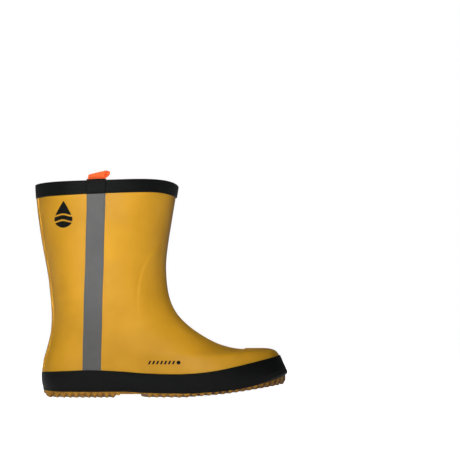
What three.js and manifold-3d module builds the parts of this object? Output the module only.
// A low rubber rain boot for the right foot, laid up from rubber sheet over a textile sock and vulcanised.
// Millimetres, +Z up, toe towards +X, outer (lateral) side towards -Y.
// The whole boot hangs on one surface, the outside of the rubber upper. Every layer is that surface moved
// in or out by its own distance, so a change to the surface or to a wall carries through to all pieces.
import * as THREE from "three";
import { mergeVertices } from "three/addons/utils/BufferGeometryUtils.js";
import Module from "manifold-3d";

const wasm = await Module();
wasm.setup();

// ---- Driving sizes ----
const LENGTH_SCALE = 1; // fore and aft, 1 for a sole 245 long
const WIDTH_SCALE = 1; // side to side
const LEG_SCALE = 1; // height of the leg above the ankle
const ANKLE_Z = 72; // below this height LEG_SCALE has no effect

const GLUE_GAP = 0.3; // between bonded layers, so that each stays its own solid
const SHELL_WALL = 1.8; // rubber upper
const PATCH_WALL = 0.7; // counter, toe puff and ankle patches between upper and lining
const LINING_WALL = 1.0; // knitted sock
const TOE_CAP_WALL = 0.8;
const BACK_STRIP_WALL = 0.8;
const STRIPE_WALL = 0.35;
const FOXING_WALL = 1.9;
const BINDING_WALL = 1.1;
const SADDLE_WALL = 0.9; // rubber strip over the pull loop's root

const BINDING_DROP = 12.5; // how far the binding reaches down outside
const BINDING_INNER_DROP = 10;
const TRIM_STOP = 1.2; // how far below the binding the strips end
const SADDLE_WIDTH = 19;
const LOOP_WIDTH = 17;
const LOOP_WALL = 1.3;
const LOOP_HEIGHT = 8; // above its hinge line
const LOOP_DEPTH = 8.8;
const LOOP_LEAN = 0.16; // how far it leans forward for each mm up
const STRIPE_WIDTH = 18;
const BACK_STRIP_WIDTH = 23;
const LAP_WIDTH = 11; // where the foxing band's end laps over its start
const LAP_STEP = 0.6;
const EMBLEM_WALL = 0.4;
const EMBLEM_HEIGHT = 26;
const EMBLEM_WIDTH = 18;

const TOE_SPRING = 14; // how far the tread rises at the toe's tip
const SPRING_START = 140; // where along the sole the rise begins
const TREAD_PITCH = 6.1;
const TREAD_DEPTH = 3.1; // less where the foxing comes down low
const TREAD_FLAT = 0.3; // share of the pitch that a bar's tip takes
const TREAD_VALLEY = 0.65; // share of the pitch at which the groove is deepest
const WAIST_LIFT = 2.6; // the waist's face above the tread tips
const WAIST_RIB_PITCH = 2.3;
const WAIST_RIB_DEPTH = 0.6;
const TREAD_CHEVRON = 0.3; // how far a tread bar slants forward for each mm out from the middle
const SOLE_PLATEAU = 5.8; // height of the outsole's raised middle, above its tread tips
const SOLE_MARGIN = 1.6; // how far the tread stands out past the upper
const FILLER = 2.8;
const HEEL_RISE = 4.2; // thickness of the heel wedge
const BOARD = 1.2;
const LINING_SOLE = 0.8;
const FOOTBED_FOAM = 3.0;
const FOOTBED_COVER = 0.8;
const FOOTBED_CLEARANCE = 0.7; // around the loose footbed

const AROUND = 36; // facets round the boot
const STEPS_UP = 17; // facets from sole to top

// ---- The upper's outside, as rings from the sole's edge to the top line ----
// Each ring runs from its rearmost point round both sides to its foremost point:
// back x z, front x z, half width at 15, 45 and 75 % of its length, radius of its rear and front ends,
// and crown, how far its sides hang below (or, if negative, stand above) its chord.
const RINGS = [
  [7.0, 0.0, 239.5, 12.0, 26.0, 24.5, 33.5, 25, 26, 0],
  [5.2, 5.5, 241.2, 17.0, 28.0, 26.5, 35.5, 26, 28, 0],
  [3.2, 11.5, 243.8, 23.5, 29.8, 28.5, 38.0, 28, 30, 0],
  [2.2, 18.0, 240.0, 30.5, 30.5, 30.2, 38.8, 29, 30, 0.3],
  [2.0, 24.5, 236.6, 38.0, 31.0, 31.5, 37.6, 29, 29, 1.4],
  [2.5, 31.0, 233.5, 46.2, 31.0, 32.5, 35.2, 29, 27, 2.8],
  [4.0, 37.5, 217.0, 47.1, 31.0, 33.5, 33.2, 29, 25, 3.6],
  [6.0, 44.5, 196.0, 46.0, 31.0, 34.2, 31.8, 29, 24, 2.2],
  [8.0, 52.5, 174.0, 51.9, 31.0, 34.8, 31.2, 29, 23, 0.6],
  [10.0, 61.5, 154.5, 63.1, 31.3, 35.7, 31.4, 28, 22, 0],
  [11.0, 72.0, 139.0, 75.2, 31.5, 37.0, 32.4, 28, 21, 0],
  [11.0, 84.5, 128.5, 90.0, 31.7, 38.2, 34.0, 28, 22, 0],
  [9.0, 100, 124.0, 107.0, 31.8, 39.0, 35.0, 28, 24, 0],
  [6.0, 119, 123.0, 127.0, 31.8, 39.8, 36.0, 28, 26, 0],
  [2.0, 142, 125.5, 149.0, 32.0, 41.0, 37.5, 28, 28, 0],
  [-2.0, 166, 129.0, 171.0, 32.4, 42.2, 38.5, 28, 28, 0],
  [-4.8, 188, 132.0, 191.0, 32.8, 43.2, 39.2, 28, 28, -2.5],
  [-6.0, 208.5, 134.5, 208.5, 33.0, 43.6, 39.4, 28, 29, -5],
];
const TOP = RINGS.length - 1;
const RING_GAP_AT_TOP = (RINGS[TOP][1] - RINGS[TOP - 1][1]) * LEG_SCALE;
const belowTop = (drop) => TOP - drop / RING_GAP_AT_TOP; // the v that lies so far below the top line
// Along the boot, before LENGTH_SCALE
const SOLE_END = 246;
const HEEL_BREAST = 77; // the heel tread ends here
const FOREPART_START = 107; // the forepart tread starts here
const LAP_X = 80; // inner side
const LOOP_X = 55.5 * LENGTH_SCALE;
const STRIPE_FOOT_X = 50;
const STRIPE_TOP_X = 54.5;
const EMBLEM_X = 23.5;
const EMBLEM_DROP = 31; // from the top line to the emblem's middle
const STATIONS = [0, 0.15, 0.45, 0.75, 1]; // where the ring's width is given

const clamp = THREE.MathUtils.clamp;
const smooth = (x, a, b) => THREE.MathUtils.smoothstep(x, a, b);
const legHeight = (z) => (z > ANKLE_Z ? ANKLE_Z + (z - ANKLE_Z) * LEG_SCALE : z);

// Ring values at v, which counts rings from the sole: a uniform cubic B-spline through the table.
function ringAt(v) {
  const i = clamp(Math.floor(v), 0, TOP - 1);
  const f = v - i;
  const row = (k) => {
    if (k < 0) return RINGS[0].map((x, c) => 2 * x - RINGS[1][c]);
    if (k > TOP) return RINGS[TOP].map((x, c) => 2 * x - RINGS[TOP - 1][c]);
    return RINGS[k];
  };
  const weights = [(1 - f) ** 3, 3 * f ** 3 - 6 * f ** 2 + 4, -3 * f ** 3 + 3 * f ** 2 + 3 * f + 1, f ** 3];
  const rows = [row(i - 1), row(i), row(i + 1), row(i + 2)];
  return RINGS[0].map((_, c) => rows.reduce((sum, r, k) => sum + (weights[k] * r[c]) / 6, 0));
}

// A smooth curve through values at STATIONS.
function throughStations(s, values) {
  const slope = (k) => {
    const a = Math.max(k - 1, 0);
    const b = Math.min(k + 1, values.length - 1);
    return (values[b] - values[a]) / (STATIONS[b] - STATIONS[a]);
  };
  let k = 0;
  while (k < values.length - 2 && s >= STATIONS[k + 1]) k++;
  const h = STATIONS[k + 1] - STATIONS[k];
  const t = (s - STATIONS[k]) / h;
  return (
    (2 * t ** 3 - 3 * t ** 2 + 1) * values[k] +
    (t ** 3 - 2 * t ** 2 + t) * h * slope(k) +
    (3 * t ** 2 - 2 * t ** 3) * values[k + 1] +
    (t ** 3 - t ** 2) * h * slope(k + 1)
  );
}

// A point of the upper's outside. u goes once round: 0 is behind, 0.25 the outer side, 0.5 in front.
function upperPoint(v, u) {
  const [xb, zb, xf, zf, wHeel, wWaist, wBall, rBack, rFront, crown] = ringAt(v);
  const angle = 2 * Math.PI * u;
  const s = (1 - Math.cos(angle)) / 2;
  const length = Math.hypot(xf - xb, zf - zb);
  const ellipse = (q) => 2 * Math.sqrt(q * (1 - q)); // half width of an ellipse of half width 1 at share q
  const fullness = throughStations(s, [
    Math.sqrt(2 * rBack * length) / 2,
    wHeel / ellipse(STATIONS[1]),
    wWaist / ellipse(STATIONS[2]),
    wBall / ellipse(STATIONS[3]),
    Math.sqrt(2 * rFront * length) / 2,
  ]);
  // Low rings lie flat and rise only at the toe; their middle swings to the inner side there.
  const low = 1 - smooth(v, 0, 6);
  const along = THREE.MathUtils.lerp(s, clamp((s - 0.65) / 0.35, 0, 1) ** 1.5, low);
  const swing = 1 - smooth(v, 0, 11);
  const toeSwing = 9 * clamp((s - 0.55) / 0.45, 0, 1) ** 1.6;
  const ballSwing = 2.4 * Math.exp(-(((s - 0.62) / 0.2) ** 2));
  const middle = swing * (toeSwing - ballSwing);
  const sine = Math.sin(angle);
  return new THREE.Vector3(
    (xb + (xf - xb) * s) * LENGTH_SCALE,
    (middle - fullness * sine) * WIDTH_SCALE,
    legHeight(zb + (zf - zb) * along - crown * (crown < 0 ? 1.4 * s ** 3 : s) * Math.abs(sine)),
  );
}

function upperNormal(v, u) {
  const step = 1e-3;
  const va = clamp(v - step, 0, TOP);
  const vb = clamp(v + step, 0, TOP);
  const up = upperPoint(vb, u).sub(upperPoint(va, u));
  const round = upperPoint(v, u + step).sub(upperPoint(v, u - step));
  return round.cross(up).normalize();
}

// The point that lies d outside the upper, then lifted straight up.
const offsetPoint = (v, u, d, lift = 0) =>
  upperPoint(v, u)
    .addScaledVector(upperNormal(v, u), d)
    .add(new THREE.Vector3(0, 0, lift));

// ---- Heights along the sole ----
const spring = (x) =>
  TOE_SPRING * clamp((x / LENGTH_SCALE - SPRING_START) / (SOLE_END - SPRING_START), 0, 1) ** 1.2;
const heelRise = (x) => HEEL_RISE * (1 - smooth(x / LENGTH_SCALE, 45, 125));
const FILLER_Z = SOLE_PLATEAU + GLUE_GAP;
const WEDGE_Z = FILLER_Z + FILLER + GLUE_GAP;
const BOARD_Z = WEDGE_Z + GLUE_GAP;
const LINING_SOLE_Z = BOARD_Z + BOARD + GLUE_GAP;
const FOAM_Z = LINING_SOLE_Z + LINING_SOLE + GLUE_GAP;
const COVER_Z = FOAM_Z + FOOTBED_FOAM + GLUE_GAP;

// A height curve through hand-chosen points, at shares of LENGTH_SCALE.
function heightCurve(points) {
  const curve = new THREE.SplineCurve(points.map(([x, z]) => new THREE.Vector2(x * LENGTH_SCALE, z)));
  return curve.getPoints(40);
}
const FOXING_TOP = heightCurve([
  [-12, 24.4], [3, 24.9], [30, 26.1], [52, 26.8], [80, 25.5], [108, 23.3], [138, 22.9], [165, 25.1], [189, 29.5],
  [214, 35.4], [236, 40.4], [258, 45.5],
]);
const FOXING_FOOT = heightCurve([
  [-12, 6.0], [3, 6.0], [50, 6.2], [84, 6.2], [104, 4.6], [122, 3.2], [150, 2.9], [172, 4.9], [189, 7.3],
  [214, 13.2], [236, 20.2], [247, 24.2], [258, 28],
]);
function curveHeight(points, x) {
  let k = 0;
  while (k < points.length - 2 && points[k + 1].x < x) k++;
  const a = points[k];
  const b = points[k + 1];
  return THREE.MathUtils.lerp(a.y, b.y, clamp((x - a.x) / (b.x - a.x), 0, 1));
}
const foxingTop = (x) => curveHeight(FOXING_TOP, x);
const foxingFoot = (x) => curveHeight(FOXING_FOOT, x);

// ---- Solids ----
const toSolid = (geometry) => {
  const bare = geometry.clone();
  for (const name of ["normal", "uv"]) bare.deleteAttribute(name);
  const merged = mergeVertices(bare, 1e-4);
  const mesh = new wasm.Mesh({
    numProp: 3,
    vertProperties: new Float32Array(merged.attributes.position.array),
    triVerts: new Uint32Array(merged.index.array),
  });
  return new wasm.Manifold(mesh);
};

const toGeometry = (solid) => {
  const { numProp, vertProperties, triVerts } = solid.getMesh();
  const positions = new Float32Array((vertProperties.length / numProp) * 3);
  for (let i = 0; i < positions.length / 3; i++)
    positions.set(vertProperties.subarray(i * numProp, i * numProp + 3), i * 3);
  const geometry = new THREE.BufferGeometry();
  geometry.setAttribute("position", new THREE.BufferAttribute(positions, 3));
  geometry.setIndex(new THREE.BufferAttribute(new Uint32Array(triVerts), 1));
  return geometry;
};

// A closed hoop round the boot from a closed profile of [v, offset, lift]. It runs up outside, down inside.
function hoop(profile) {
  const positions = [];
  const index = [];
  const n = profile.length;
  for (let i = 0; i < AROUND; i++)
    for (const [v, d, lift] of profile) positions.push(...offsetPoint(v, i / AROUND, d, lift).toArray());
  for (let i = 0; i < AROUND; i++)
    for (let k = 0; k < n; k++) {
      const a = i * n + k;
      const b = i * n + ((k + 1) % n);
      const c = ((i + 1) % AROUND) * n + k;
      const d = ((i + 1) % AROUND) * n + ((k + 1) % n);
      // Rising and falling runs share one diagonal, so that the facets of two layers stay parallel.
      if (profile[(k + 1) % n][0] >= profile[k][0]) index.push(a, c, b, b, c, d);
      else index.push(a, c, d, a, d, b);
    }
  const geometry = new THREE.BufferGeometry();
  geometry.setAttribute("position", new THREE.Float32BufferAttribute(positions, 3));
  geometry.setIndex(index);
  return toSolid(geometry);
}

// The layer between two offsets, from ring v0 to ring v1, with its rows where every other layer has them.
function layer(inner, outer, v0, v1) {
  const inside = [];
  for (let k = 0; k <= STEPS_UP; k++) inside.push((TOP * k) / STEPS_UP);
  const rows = [v0, ...inside.filter((v) => v > v0 + 0.05 && v < v1 - 0.05), v1];
  return hoop([...rows.map((v) => [v, outer, 0]), ...rows.toReversed().map((v) => [v, inner, 0])]);
}

const FAR = 400;
// A side-view outline of [x, z] points run across the boot from y0 to y1.
function acrossPrism(points, y0 = -FAR, y1 = FAR) {
  const shape = new THREE.Shape(points.map(([x, z]) => new THREE.Vector2(x, z)));
  const geometry = new THREE.ExtrudeGeometry(shape, { depth: y1 - y0, bevelEnabled: false });
  return toSolid(geometry.rotateX(Math.PI / 2).translate(0, y1, 0));
}

// The region between two height curves, given as functions of x.
function between(low, high, x0 = -40, x1 = 280) {
  const steps = 40;
  const xs = Array.from({ length: steps + 1 }, (_, i) => (x0 + ((x1 - x0) * i) / steps) * LENGTH_SCALE);
  return acrossPrism([...xs.map((x) => [x, low(x)]), ...xs.toReversed().map((x) => [x, high(x)])]);
}

// A vertical prism whose outline is the plan of ring v, moved out by d.
function planPrism(v, d, around = AROUND) {
  const outline = Array.from({ length: around }, (_, i) => {
    const u = i / around;
    const p = upperPoint(v, u);
    const t = upperPoint(v, u + 1e-3).sub(upperPoint(v, u - 1e-3));
    const size = Math.hypot(t.x, t.y);
    return new THREE.Vector2(p.x + (t.y / size) * d, p.y - (t.x / size) * d);
  });
  const geometry = new THREE.ExtrudeGeometry(new THREE.Shape(outline), { depth: FAR, bevelEnabled: false });
  return toSolid(geometry.translate(0, 0, -FAR / 2));
}

// ---- Materials ----
const material = (color, roughness, metalness = 0) =>
  new THREE.MeshStandardMaterial({ color, roughness, metalness, flatShading: true });
const YELLOW_RUBBER = material(0xd9a531, 0.55);
const BLACK_RUBBER = material(0x23262a, 0.6);
const GUM_RUBBER = material(0xb07f2a, 0.65);
const REFLECTIVE_TAPE = material(0x767678, 0.45);
const ORANGE_WEBBING = material(0xf05a1e, 0.85);
const DARK_KNIT = material(0x3a3b3d, 0.95);
const FIBRE_BOARD = material(0x9c8767, 0.9);
const SPONGE = material(0x55504a, 0.95);
const STIFFENER = material(0x8a8272, 0.8);
const FOAM = material(0x4c5358, 0.95);

const boot = new THREE.Group();
const footbed = new THREE.Group();
function add(name, solid, look, group = boot) {
  const mesh = new THREE.Mesh(toGeometry(solid), look);
  mesh.name = name;
  group.add(mesh);
}

// ---- Rubber upper and what lies inside its wall ----
const PATCH_OUT = -SHELL_WALL - GLUE_GAP;
const PATCH_IN = PATCH_OUT - PATCH_WALL;
const LINING_OUT = PATCH_IN - GLUE_GAP;
const LINING_IN = LINING_OUT - LINING_WALL;
const BOARD_EDGE = -SHELL_WALL - 0.6; // edge of what is lasted into the upper
const UPPER_FOOT = 1; // the ring at which the upper's edge turns under

add(
  "upper_shell",
  layer(-SHELL_WALL, 0, 0, TOP).intersect(between(foxingFoot, () => FAR)),
  YELLOW_RUBBER,
);

const boardTop = (x) => BOARD_Z + BOARD + heelRise(x) + spring(x);
const liningFoot = (x) => boardTop(x) + GLUE_GAP;
add(
  "lining",
  layer(LINING_IN, LINING_OUT, UPPER_FOOT, TOP).intersect(between(liningFoot, () => FAR)),
  DARK_KNIT,
);

const patchLayer = layer(PATCH_IN, PATCH_OUT, UPPER_FOOT, TOP);
const scaled = (points) => points.map(([x, z]) => [x * LENGTH_SCALE, z]);
const aboveBoard = between(liningFoot, () => FAR);
const COUNTER_OUTLINE = [[-30, -10], [78, -10], [78, 12], [72, 30], [56, 44], [34, 56], [14, 62], [-30, 62]];
const COUNTER_CUT = acrossPrism(scaled(COUNTER_OUTLINE));
add("heel_counter", patchLayer.intersect(aboveBoard).intersect(COUNTER_CUT), STIFFENER);
const PUFF_OUTLINE = [[182, 10], [280, 10], [280, 60], [196, 60]];
const PUFF_CUT = acrossPrism(scaled(PUFF_OUTLINE));
add("toe_puff", patchLayer.intersect(aboveBoard).intersect(PUFF_CUT), STIFFENER);
const ANKLE_CENTRE = [66, 92];
const ANKLE_HALF = [34, 25];
const ankleOutline = scaled(
  Array.from({ length: 24 }, (_, i) => {
    const a = (i / 24) * 2 * Math.PI;
    return [ANKLE_CENTRE[0] + ANKLE_HALF[0] * Math.cos(a), ANKLE_CENTRE[1] + ANKLE_HALF[1] * Math.sin(a)];
  }),
);
for (const [side, y0, y1] of [["outer", -FAR, 0], ["inner", 0, FAR]])
  add("ankle_patch_" + side, patchLayer.intersect(acrossPrism(ankleOutline, y0, y1)), STIFFENER);

// ---- Overlays on the upper ----
const FOXING_OUT = GLUE_GAP + FOXING_WALL;
const FOXING_ROWS = [0.2, 7]; // rings that the band lies between
function xBand(middle, width, y0, y1) {
  const a = middle - width / 2;
  const b = middle + width / 2;
  return acrossPrism([[a, -FAR], [b, -FAR], [b, FAR], [a, FAR]], y0, y1);
}
const foxingLap = layer(GLUE_GAP + FOXING_WALL / 2, FOXING_OUT + LAP_STEP, ...FOXING_ROWS).intersect(
  xBand(LAP_X * LENGTH_SCALE, LAP_WIDTH, 0, FAR),
);
add(
  "foxing_band",
  layer(GLUE_GAP, FOXING_OUT, ...FOXING_ROWS).add(foxingLap).intersect(between(foxingFoot, foxingTop)),
  BLACK_RUBBER,
);

const overlayZone = between((x) => foxingTop(x) + GLUE_GAP, () => FAR);
const TOE_CAP_EDGE = [[219, 60], [171, 16]]; // its rear edge seen from the side, from top to foot
add(
  "toe_cap",
  layer(GLUE_GAP, GLUE_GAP + TOE_CAP_WALL, 2, 10)
    .intersect(overlayZone)
    .intersect(acrossPrism(scaled([TOE_CAP_EDGE[1], [280, 16], [280, 60], TOE_CAP_EDGE[0]]))),
  YELLOW_RUBBER,
);

const STRIP_TOP = belowTop(BINDING_DROP + TRIM_STOP);
add(
  "back_strip",
  layer(GLUE_GAP, GLUE_GAP + BACK_STRIP_WALL, 2, STRIP_TOP)
    .intersect(overlayZone)
    .intersect(xBand(-10 * LENGTH_SCALE, 100 * LENGTH_SCALE, -BACK_STRIP_WIDTH / 2, BACK_STRIP_WIDTH / 2)),
  YELLOW_RUBBER,
);

const legTop = legHeight(RINGS[TOP][1]);
add(
  "reflective_stripe",
  layer(GLUE_GAP, GLUE_GAP + STRIPE_WALL, 2, STRIP_TOP)
    .intersect(overlayZone)
    .intersect(
      acrossPrism(
        [
          [STRIPE_FOOT_X * LENGTH_SCALE - STRIPE_WIDTH / 2, 0],
          [STRIPE_FOOT_X * LENGTH_SCALE + STRIPE_WIDTH / 2, 0],
          [STRIPE_TOP_X * LENGTH_SCALE + STRIPE_WIDTH / 2, legTop],
          [STRIPE_TOP_X * LENGTH_SCALE - STRIPE_WIDTH / 2, legTop],
        ],
        -FAR,
        0,
      ),
    ),
  REFLECTIVE_TAPE,
);

// A plain raindrop on the outer side, near the top.
function dropOutline(x, z, width, height) {
  const r = width / 2;
  const low = z - height / 2 + r;
  const tip = z + height / 2;
  const lean = Math.acos(r / (tip - low)); // where the straight flanks meet the round foot
  const arc = Array.from({ length: 19 }, (_, i) => {
    const a = Math.PI / 2 + lean + (i / 18) * 2 * (Math.PI - lean);
    return [x + r * Math.cos(a), low + r * Math.sin(a)];
  });
  return [...arc, [x, tip]];
}
add(
  "emblem",
  layer(GLUE_GAP, GLUE_GAP + EMBLEM_WALL, 2, STRIP_TOP).intersect(
    acrossPrism(
      dropOutline(EMBLEM_X * LENGTH_SCALE, legTop - EMBLEM_DROP, EMBLEM_WIDTH, EMBLEM_HEIGHT),
      -FAR,
      0,
    ),
  ),
  BLACK_RUBBER,
);

// ---- Top binding, folded over the edge of upper and lining ----
// A channel over the top edge: gap is its distance from upper, edge and lining.
function rimChannel(gap, wall) {
  const outerFoot = belowTop(BINDING_DROP);
  const innerFoot = belowTop(BINDING_INNER_DROP);
  const outer = gap + wall;
  const inner = LINING_IN - gap - wall;
  const shoulder = 0.4 * wall; // how far its upper edges are taken in
  return hoop([
    [outerFoot, outer, 0],
    [TOP, outer, 0],
    [TOP, outer - shoulder, outer],
    [TOP, inner + shoulder, outer],
    [TOP, inner, 0],
    [innerFoot, inner, 0],
    [innerFoot, inner + wall, 0],
    [TOP, inner + wall, gap],
    [TOP, gap, gap],
    [outerFoot, gap, 0],
  ]);
}
add("collar_binding", rimChannel(GLUE_GAP, BINDING_WALL), BLACK_RUBBER);

// ---- Pull loop on the outer side, its root under a saddle of black rubber ----
const saddleGap = GLUE_GAP + BINDING_WALL + GLUE_GAP;
add(
  "loop_saddle",
  rimChannel(saddleGap, SADDLE_WALL).intersect(xBand(LOOP_X, SADDLE_WIDTH, -FAR, 0)),
  BLACK_RUBBER,
);

// The u at which ring v reaches x on the outer side.
function outerSideU(v, x) {
  let low = 0;
  let high = 0.5;
  for (let k = 0; k < 40; k++) {
    const middle = (low + high) / 2;
    if (upperPoint(v, middle).x < x) low = middle;
    else high = middle;
  }
  return (low + high) / 2;
}
const rimBelow = (x) => offsetPoint(TOP, outerSideU(TOP, x), LINING_IN / 2);
const rim = rimBelow(LOOP_X);
// The top line rises forward here, so the loop's front end sets its height.
const SADDLE_TOP = rimBelow(LOOP_X + SADDLE_WIDTH / 2).z + saddleGap + SADDLE_WALL;
const LOOP_AXIS = new THREE.Vector3(LOOP_X, rim.y, SADDLE_TOP + GLUE_GAP + LOOP_WALL);

// A teardrop of webbing seen from the front, round its hinge line at the root and round at its head.
function loopShape() {
  const headRadius = LOOP_DEPTH / 2;
  const headZ = LOOP_HEIGHT - headRadius;
  const arc = (path, z, radius, from, to) => path.absarc(0, z, radius, from * Math.PI, to * Math.PI, false);
  const shape = new THREE.Shape();
  arc(shape, headZ, headRadius, -0.18, 1.18);
  arc(shape, 0, LOOP_WALL, 1.06, 1.94);
  const inside = new THREE.Path();
  arc(inside, headZ, headRadius - LOOP_WALL, -0.24, 1.24);
  arc(inside, 1.2, 0.3, 1, 2);
  shape.holes.push(inside);
  return shape;
}
const loopGeometry = new THREE.ExtrudeGeometry(loopShape(), {
  depth: LOOP_WIDTH,
  bevelEnabled: false,
  curveSegments: 10,
});
// The run along the boot comes from the extrusion; the head leans forward as it rises.
loopGeometry.rotateX(Math.PI / 2).rotateZ(Math.PI / 2).translate(-LOOP_WIDTH / 2, 0, 0);
loopGeometry.applyMatrix4(new THREE.Matrix4().makeShear(0, 0, 0, 0, LOOP_LEAN, 0));
const pullLoop = new THREE.Mesh(loopGeometry, ORANGE_WEBBING);
pullLoop.name = "pull_loop";
pullLoop.position.copy(LOOP_AXIS);
boot.add(pullLoop);

// ---- Outsole: chevron bars, fine ribs at the waist, and a plateau that stands up inside the upper ----
function treadOutline() {
  const points = [];
  const heelEnd = HEEL_BREAST * LENGTH_SCALE;
  const forepart = FOREPART_START * LENGTH_SCALE;
  for (let x = -60; x < SOLE_END * LENGTH_SCALE + 60; x += TREAD_PITCH) {
    if (x + TREAD_PITCH > heelEnd && x < forepart) continue;
    const depth = Math.min(TREAD_DEPTH, foxingFoot(x) - GLUE_GAP - WAIST_RIB_DEPTH - spring(x));
    points.push([x, spring(x)], [x + TREAD_PITCH * TREAD_FLAT, spring(x)]);
    points.push([x + TREAD_PITCH * TREAD_VALLEY, spring(x) + depth]);
  }
  for (let x = heelEnd; x < forepart - WAIST_RIB_PITCH; x += WAIST_RIB_PITCH)
    points.push([x, WAIST_LIFT], [x + WAIST_RIB_PITCH / 2, WAIST_LIFT + WAIST_RIB_DEPTH]);
  return points.sort((a, b) => a[0] - b[0]);
}
const tread = treadOutline();
const CUT_TOP = 60; // above anything that the sole reaches
const CHEVRON_REST = 24; // the distance from the middle at which a bar keeps its place
const treadSection = [...tread, [tread.at(-1)[0], CUT_TOP], [tread[0][0], CUT_TOP]];
const treadGeometry = new THREE.ExtrudeGeometry(
  new THREE.Shape(treadSection.map(([x, z]) => new THREE.Vector2(x, z))),
  { depth: FAR, bevelEnabled: false, steps: 2 },
);
treadGeometry.rotateX(Math.PI / 2).translate(0, FAR / 2, 0);
const treadPositions = treadGeometry.attributes.position;
for (let i = 0; i < treadPositions.count; i++)
  treadPositions.setX(
    i,
    treadPositions.getX(i) + TREAD_CHEVRON * (Math.abs(treadPositions.getY(i)) - CHEVRON_REST),
  );
// Under the foxing the sole reaches out past the upper; inside the upper it rises to the plateau.
const soleMargin = planPrism(1.2, SOLE_MARGIN).intersect(
  between(() => -30, (x) => Math.min(foxingFoot(x) - GLUE_GAP, spring(x) + SOLE_PLATEAU)),
);
const solePlateau = planPrism(0, BOARD_EDGE).intersect(
  between(() => -30, (x) => spring(x) + SOLE_PLATEAU),
);
add("outsole", toSolid(treadGeometry).intersect(soleMargin.add(solePlateau)), GUM_RUBBER);

// ---- Inside the sole ----
const lasted = (edge, low, high, x0, x1) => planPrism(UPPER_FOOT, edge).intersect(between(low, high, x0, x1));
add(
  "midsole_filler",
  lasted(BOARD_EDGE, (x) => FILLER_Z + spring(x), (x) => FILLER_Z + FILLER + spring(x)),
  SPONGE,
);
add(
  "heel_wedge",
  lasted(BOARD_EDGE, () => WEDGE_Z, (x) => WEDGE_Z + heelRise(x), -40, 104),
  SPONGE,
);
add(
  "insole_board",
  lasted(BOARD_EDGE, (x) => BOARD_Z + heelRise(x) + spring(x), boardTop),
  FIBRE_BOARD,
);
const sock = (edge, z, thick) =>
  planPrism(UPPER_FOOT + 0.6, edge).intersect(
    between((x) => z + heelRise(x) + spring(x), (x) => z + thick + heelRise(x) + spring(x)),
  );
add("lining_sole", sock(LINING_IN - GLUE_GAP - 0.6, LINING_SOLE_Z, LINING_SOLE), DARK_KNIT);
// The loose footbed also keeps clear of the lining where the toe closes in over it.
const loose = planPrism(UPPER_FOOT + 2.2, LINING_IN - FOOTBED_CLEARANCE - 1.2);
const footbedLayer = (z, thick) => sock(LINING_IN - FOOTBED_CLEARANCE - 0.8, z, thick).intersect(loose);
add("footbed_foam", footbedLayer(FOAM_Z, FOOTBED_FOAM), FOAM, footbed);
add("footbed_cover", footbedLayer(COVER_Z, FOOTBED_COVER), DARK_KNIT, footbed);
boot.add(footbed);

// The frame's origin is on the ground, under the middle of the boot's box.
const box = new THREE.Box3().setFromObject(boot, true);
boot.position.set(-(box.min.x + box.max.x) / 2, -(box.min.y + box.max.y) / 2, -box.min.z);

export default boot;
